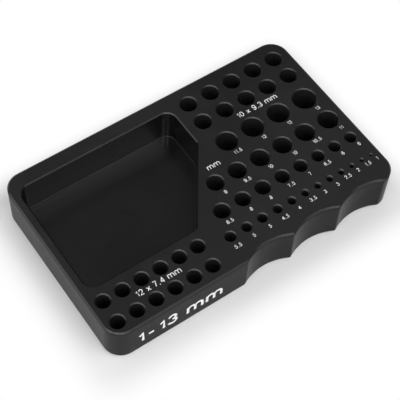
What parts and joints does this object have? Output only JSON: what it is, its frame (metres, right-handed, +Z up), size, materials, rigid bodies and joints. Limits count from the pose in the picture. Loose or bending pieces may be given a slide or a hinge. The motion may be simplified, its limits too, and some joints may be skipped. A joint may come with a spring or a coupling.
{
  "type": "drill bit stand",
  "caption": "Low milled metal block with rounded corners that stands drill bits upright in graded holes, with storage holes, an open parts tray and finger scallops.",
  "frame": {"origin": "on the resting plane under the middle of the block", "axes": "+X along the block to its right end, -Y towards the front face with the scallops, +Z up"},
  "size_m": [0.176, 0.108, 0.026],
  "materials": {
    "anodised_block": "black anodised, fine satin blast",
    "rubber_foot": "matte",
    "steel_screw": "satin",
    "size_marks": "white laser mark"
  },
  "bodies": {
    "root": {"body": "anodised_block", "foot_front_left": "rubber_foot", "foot_front_right": "rubber_foot", "foot_rear_left": "rubber_foot", "foot_rear_right": "rubber_foot", "foot_screw_front_left": "steel_screw", "foot_screw_front_right": "steel_screw", "foot_screw_rear_left": "steel_screw", "foot_screw_rear_right": "steel_screw"}
  },
  "joints": []
}
